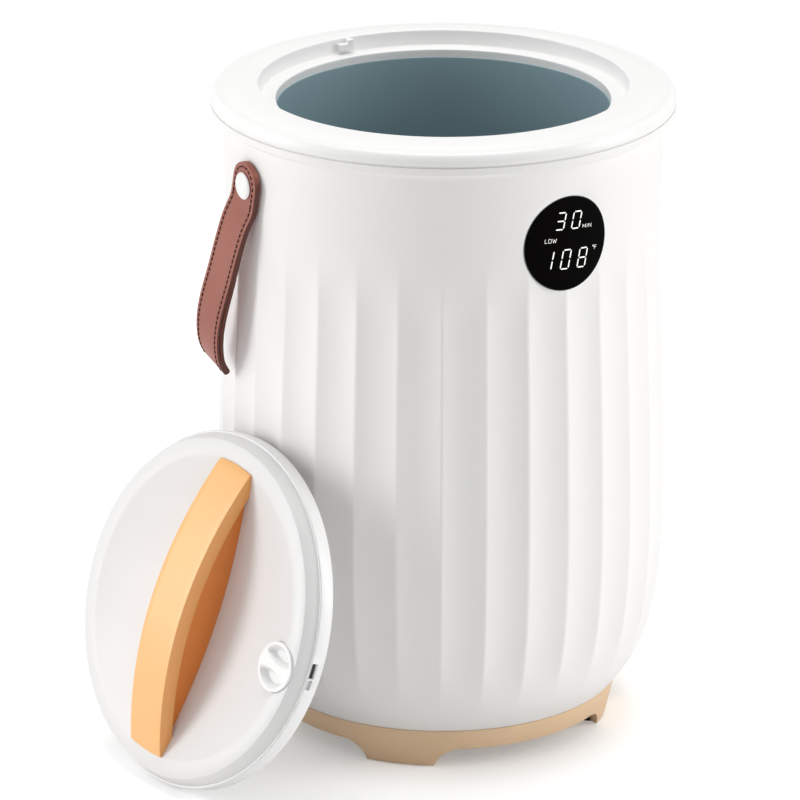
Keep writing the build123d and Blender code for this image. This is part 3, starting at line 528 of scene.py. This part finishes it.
def makeLug():
    # An L-shaped block on the seat wall: its outline is pushed inward from the wall.
    outline = roundedPath([(-5.5, 452.0), (5.5, 452.0), (5.5, 459.3), (1.5, 459.3), (1.5, 456.5), (-5.5, 456.5)],
                          0.5, 3, closed=True)
    rows = []
    for reach, shrink in ((128.0, 0.0), (122.6, 0.0), (122.2, 0.15), (122.0, 0.45)):
        centre = outline.mean(0)
        ring = outline - np.sign(outline - centre) * shrink
        y = np.sqrt(reach ** 2 - ring[:, 0] ** 2)
        rows.append(np.stack([ring[:, 0], y, ring[:, 1]], 1))
    points = np.array(rows)
    count = points.shape[1]
    faces = [list(f) for f in gridFaces(len(rows), count, True)]
    faces.append(list(range(3 * count, 4 * count))[::-1])
    addMesh("seatLug", points.reshape(-1, 3), faces, rimWhite, "bucket", smooth=False)


def makeLiner():
    profile = roundedPath([(124.0, 443.5), (114.4, 443.5), (114.4, 54.0), (0.02, 54.0)], [0, 0.5, 12.8, 0], 12)
    piece = addGrid("linerBarrel", spun(refine(profile, 8.0), 192), tealCoat, "bucket",
                    closeColumns=True)
    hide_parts("inner_barrel")


makeRim()
makeLug()
makeLiner()
print("rim and liner made")


def fromLid(points):
    axes = np.array([lidFrame["u"], lidFrame["v"], lidFrame["n"]])
    return np.asarray(lidFrame["origin"]) + points @ axes


knob = {"angle": -6.6, "distance": 99.5, "top": 0.8, "ridgeTurn": -13.0, "ridge": 2.3, "flare": 0.019,
        "scoop": 5.2, "fall": 3.8, "ringFrom": 15.4, "ringTo": 11.2}
knobSteps = {"top": 46, "around": 120, "topRadius": 16.7, "edgeRadii": [16.95, 17.12, 17.2, 17.2, 17.2],
             "edgeDrops": [0.06, 0.2, 0.5, 4.0, 10.4]}


def makeKnob():
    # Height = top minus scoop x (0..1 rise away from the ridge) x (0..1 fall towards the outer ring);
    # the ridge's half-width is ridge + flare x (distance along it) squared.
    rho = np.concatenate([np.linspace(0, knobSteps["topRadius"], knobSteps["top"]), knobSteps["edgeRadii"]])
    drop = np.concatenate([np.zeros(knobSteps["top"]), knobSteps["edgeDrops"]])
    turn = np.linspace(0, 2 * math.pi, knobSteps["around"], endpoint=False)
    a = rho[:, None] * np.cos(turn)
    b = rho[:, None] * np.sin(turn)
    half = knob["ridge"] + knob["flare"] * a ** 2
    inside = 1 - smoothStep(rho, knob["ringTo"], knob["ringFrom"])
    scoop = smoothStep(np.abs(b) - half, 0.0, knob["fall"]) * inside[:, None]
    height = knob["top"] - drop[:, None] - knob["scoop"] * scoop
    spin = math.radians(knob["ridgeTurn"])
    place = math.radians(knob["angle"])
    x = knob["distance"] * math.cos(place) + a * math.cos(spin) - b * math.sin(spin)
    y = knob["distance"] * math.sin(place) + a * math.sin(spin) + b * math.cos(spin)
    points = fromLid(np.stack([x, y, height], -1))
    piece = addGrid("scoopedKnob", points, knobWhite, "cap", closeColumns=True, flip=True)
    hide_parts("fragrance_cap")


slotPatches = {
    "slotShade": {"angle": -2.95, "half": 2.46, "radius": 121.35, "low": -14.7, "high": -10.7},
    "rampShade": {"angle": -7.6, "half": 1.62, "radius": 122.4, "low": -14.4, "high": -11.1},
}


def makeSlotShades():
    # Painted shade in the bayonet slot and on its ramp: dark and grey curved patches, angle across and height along
    # the lid's axis.
    for name, patch in slotPatches.items():
        turn = np.radians(np.linspace(patch["angle"] - patch["half"], patch["angle"] + patch["half"], 9))
        low, high, r = patch["low"], patch["high"], patch["radius"]
        profile = ((r, low), (r + 0.12, low + 0.05), (r + 0.12, high - 0.05), (r, high))
        rows = [np.stack([radius * np.cos(turn), radius * np.sin(turn), np.full(9, height)], -1)
                for radius, height in profile]
        # A dark patch in the slot and a grey one on the ramp: painted shade, not parts of the lid.
        paintedShade = darkRubber if name == "slotShade" else sealGrey
        addGrid(name, fromLid(np.array(rows)), paintedShade, "lid", flip=True)


makeKnob()
makeSlotShades()
print("knob and slot made")


lens = {"height": 385.0, "face": 150.75, "turn": -4.5, "lean": 0.13, "around": 160, "highlightRing": 7}
# Rings of the glass from its middle outwards: their radius, and how far the rounded edge drops there.
glassRings = {
    "rho": [0, 8, 16, 24, 29, 31.6, 32.4, 32.8, 33.05, 33.22, 33.3, 33.3],
    "drop": [0, 0, 0, 0, 0, 0, 0.02, 0.08, 0.2, 0.42, 0.75, 2.1],
}
# The lit marks: text, centre, then height and pitch of digits or width, height and stroke of words.
digitRows = [("30", (-0.55, 15.9), 12.5, 12.9), ("108", (-0.6, -11.1), 14.0, 13.8)]
wordRows = [("MIN", (15.2, 10.9), 7.4, 2.3, 0.24), ("LOW", (-13.7, 2.6), 8.8, 2.7, 0.24),
            ("F", (24.3, -5.2), 1.5, 2.5, 0.26)]
degreeRing = {"x": 22.3, "y": -4.2, "radius": 0.55, "stroke": 0.22, "step": 45}
markLift = (0.01, 0.15)
barCorners = 8

# Seven-part digits: which of top, upper left, upper right, middle, lower left, lower right and bottom are lit.
digitParts = {"0": "1110111", "1": "0010010", "3": "1011011", "8": "1111111"}

# Letters as strokes in a cell one unit high.
letterStrokes = {
    "M": [((0, 0), (0, 1)), ((0, 1), (0.4, 0.25)), ((0.4, 0.25), (0.8, 1)), ((0.8, 1), (0.8, 0))],
    "I": [((0.12, 0), (0.12, 1))],
    "N": [((0, 0), (0, 1)), ((0, 1), (0.66, 0)), ((0.66, 0), (0.66, 1))],
    "L": [((0, 1), (0, 0)), ((0, 0), (0.55, 0))],
    "O": [((0.1, 0), (0, 0.2)), ((0, 0.2), (0, 0.8)), ((0, 0.8), (0.1, 1)), ((0.1, 1), (0.6, 1)),
          ((0.6, 1), (0.7, 0.8)), ((0.7, 0.8), (0.7, 0.2)), ((0.7, 0.2), (0.6, 0)), ((0.6, 0), (0.1, 0))],
    "W": [((0, 1), (0.25, 0)), ((0.25, 0), (0.5, 0.8)), ((0.5, 0.8), (0.75, 0)), ((0.75, 0), (1, 1))],
    "F": [((0, 0), (0, 1)), ((0, 1), (0.55, 1)), ((0, 0.5), (0.45, 0.5))],
}
letterGap = 0.32
letterPoint = 0.02
letterWidth = {"M": 0.8, "I": 0.24, "N": 0.66, "L": 0.55, "O": 0.7, "W": 1.0, "F": 0.55}


def barShape(start, end, width, point):
    # A bar from start to end; its ends come to a blunt point of the given length.
    start, end = np.asarray(start, float), np.asarray(end, float)
    along = (end - start) / np.linalg.norm(end - start)
    side = np.array([-along[1], along[0]]) * width / 2
    back = along * point
    return np.array([start - side * 0.3, start + back - side, end - back - side, end - side * 0.3,
                     end + side * 0.3, end - back + side, start + back + side, start + side * 0.3])


def digitBars(text, centre, height, pitch, width=6.4, stroke=0.85, gap=0.55):
    bars = []
    for index, mark in enumerate(text):
        x = centre[0] + pitch * (index - (len(text) - 1) / 2)
        w, h = width / 2, (height - stroke) / 2
        ends = [((-w, h), (w, h)), ((-w, h), (-w, 0)), ((w, h), (w, 0)), ((-w, 0), (w, 0)), ((-w, 0), (-w, -h)),
                ((w, 0), (w, -h)), ((-w, -h), (w, -h))]
        for lit, (a, b) in zip(digitParts[mark], ends):
            if lit == "1":
                a, b = np.array(a, float), np.array(b, float)
                cut = (b - a) / np.linalg.norm(b - a) * gap
                bar = barShape(a + cut, b - cut, stroke, 0.5)
                bar[:, 0] += lens["lean"] * bar[:, 1] + x
                bar[:, 1] += centre[1]
                bars.append(bar)
    return bars


def wordBars(text, centre, width, height, stroke):
    total = sum(letterWidth[c] for c in text) + letterGap * (len(text) - 1)
    scaleX = width / total
    x = centre[0] - width / 2
    bars = []
    for letter in text:
        for a, b in letterStrokes[letter]:
            start = np.array([x + a[0] * scaleX, centre[1] + (a[1] - 0.5) * height])
            end = np.array([x + b[0] * scaleX, centre[1] + (b[1] - 0.5) * height])
            reach = (end - start) / np.linalg.norm(end - start) * stroke * 0.4
            bars.append(barShape(start - reach, end + reach, stroke, letterPoint))
        x += (letterWidth[letter] + letterGap) * scaleX
    return bars


def makeDisplay():
    # Glass: a disc bent round the bucket's axis, radius = face minus a rounded edge that drops as rho nears the rim.
    rho = np.array(glassRings["rho"])
    drop = np.array(glassRings["drop"])
    turn = np.linspace(0, 2 * math.pi, lens["around"], endpoint=False)
    x = rho[:, None] * np.sin(turn)
    z = lens["height"] + rho[:, None] * np.cos(turn)
    y = -np.sqrt((lens["face"] - drop[:, None]) ** 2 - x ** 2)
    points = np.stack([x, y, z], -1)
    glass = addGrid("displayGlass", points, blackGlass, "bucket", closeColumns=True)
    # The outer rings of the glass take the grey of the painted highlight.
    glass.data.materials.append(glassRimHighlight)
    edge = np.zeros(len(glass.data.polygons), np.int32)
    edge[lens["highlightRing"] * lens["around"]:] = 1
    glass.data.polygons.foreach_set("material_index", edge)
    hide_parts("display_lens")
    bars = [bar for row in digitRows for bar in digitBars(*row)]
    bars += [bar for row in wordRows for bar in wordBars(*row)]
    cx, cy, reach = degreeRing["x"], degreeRing["y"], degreeRing["radius"]
    ring = np.radians(np.arange(0, 360, degreeRing["step"]))
    for a, b in zip(ring, ring + math.radians(degreeRing["step"])):
        start = (cx + reach * math.cos(a), cy + reach * math.sin(a))
        end = (cx + reach * math.cos(b), cy + reach * math.sin(b))
        bars.append(barShape(start, end, degreeRing["stroke"], letterPoint))
    bars = np.array(bars)
    spin = math.radians(lens["turn"])
    x = bars[..., 0] * math.cos(spin) - bars[..., 1] * math.sin(spin)
    z = lens["height"] + bars[..., 0] * math.sin(spin) + bars[..., 1] * math.cos(spin)
    rings = [np.stack([x, -np.sqrt(r * r - x * x), z], -1) for r in (lens["face"] + lift for lift in markLift)]
    points = np.stack(rings, 1).reshape(-1, 3)
    faces = []
    for index in range(len(bars)):
        low = index * 2 * barCorners
        high = low + barCorners
        faces.append([high + k for k in range(barCorners)])
        faces += [[low + k, low + (k + 1) % barCorners, high + (k + 1) % barCorners, high + k]
                  for k in range(barCorners)]
    digits = addMesh("litDigits", points, faces, litMarks, "bucket", smooth=False)
    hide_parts("display_digits")


makeDisplay()
print("display made")


# Corner rounding, in millimetres, of the pieces that keep their solid's shape.
softCorners = {
    "lid_cover": 0.5, "lid_skirt": 0.4, "lid_handle": 0.6, "base_ring": 0.5, "left_strap": 0.5, "right_strap": 0.5,
}
cornerCut = {"angle": 34.0, "segments": 2, "weldDistance": 0.00001}


def softenCorners():
    for nodeName, width in softCorners.items():
        piece = nodes[nodeName]
        weld = piece.modifiers.new("joinFaces", "WELD")
        weld.merge_threshold = cornerCut["weldDistance"]
        addBevel(piece, width, cornerCut["angle"], cornerCut["segments"])


softenCorners()
print("corners softened")


floorFinish = {"color": (0.94, 0.94, 0.94), "fine": 40.0, "height": 0.0, "roughness": (0.85, 0.9), "specular": 0.1}
floorReach = 30
floorLift = 0.26


def makeStage():
    mesh = bpy.data.meshes.new("paleFloor")
    corners = [(x * floorReach, y * floorReach, 0) for x, y in ((-1, -1), (1, -1), (1, 1), (-1, 1))]
    mesh.from_pydata(corners, [], [(0, 1, 2, 3)])
    floor = bpy.data.objects.new("paleFloor", mesh)
    scene.collection.objects.link(floor)
    material = simpleMaterial("paleFloor", **floorFinish)
    # To the camera the floor is a little brighter than it is lit, so that it reads as white paper.
    tree = material.node_tree
    seen = tree.nodes.new("ShaderNodeLightPath")
    shader = tree.nodes["Principled BSDF"]
    shader.inputs["Emission Color"].default_value = (1.0, 1.0, 1.0, 1)
    lift = tree.nodes.new("ShaderNodeMath")
    lift.operation = "MULTIPLY"
    lift.inputs[1].default_value = floorLift
    tree.links.new(seen.outputs["Is Camera Ray"], lift.inputs[0])
    tree.links.new(lift.outputs[0], shader.inputs["Emission Strength"])
    mesh.materials.append(material)


def addLight(name, location, target, size, power):
    light = bpy.data.lights.new(name, "AREA")
    light.shape = "RECTANGLE"
    light.size, light.size_y = size
    light.energy = power
    lamp = bpy.data.objects.new(name, light)
    lamp.location = location
    lamp.rotation_euler = (Vector(target) - Vector(location)).to_track_quat("-Z", "Y").to_euler()
    scene.collection.objects.link(lamp)


roomLight = 0.52
# Each lamp: where it stands, where it aims, its size and its power.
lamps = {
    "leftStrip": ((-2.22, 1.147, 0.8), (0, 0, 0.25), (0.9, 2.0), 30.0),
    "rightStrip": ((1.935, -1.583, 0.8), (0, 0, 0.25), (0.9, 2.0), 31.0),
    "topPanel": ((0.1, 0.3, 2.7), (0, 0, 0.3), (1.6, 1.6), 32.0),
}


def makeLights():
    # An even room, one tall soft strip on each side of the bucket and a soft panel above it.
    world = bpy.data.worlds.new("softWorld")
    world.use_nodes = True
    background = world.node_tree.nodes["Background"]
    background.inputs["Color"].default_value = (1.0, 1.0, 1.0, 1)
    background.inputs["Strength"].default_value = roomLight
    scene.world = world
    for name, lamp in lamps.items():
        addLight(name, *lamp)


cameraLens = {"sensor": 36.0, "length": 263.544, "reach": 100.0}
cameraPlace = {
    "right": (0.8361104, -0.5485567, 0.0022385), "up": (0.1840776, 0.2844106, 0.9408645),
    "forward": (0.5167542, 0.7862545, -0.3387756), "position": (-2.139511, -3.2020044, 1.61443),
}


def makeCamera():
    camera = bpy.data.cameras.new("viewCamera")
    camera.sensor_width = cameraLens["sensor"]
    camera.lens = cameraLens["length"]
    camera.clip_end = cameraLens["reach"]
    viewer = bpy.data.objects.new("viewCamera", camera)
    right, up = Vector(cameraPlace["right"]), Vector(cameraPlace["up"])
    back = -Vector(cameraPlace["forward"])
    turned = Matrix((right, up, back)).transposed().to_4x4()
    viewer.matrix_world = Matrix.Translation(cameraPlace["position"]) @ turned
    scene.collection.objects.link(viewer)
    scene.camera = viewer


makeStage()
makeLights()
makeCamera()
scene.view_settings.view_transform = "Standard"

print("scene made")
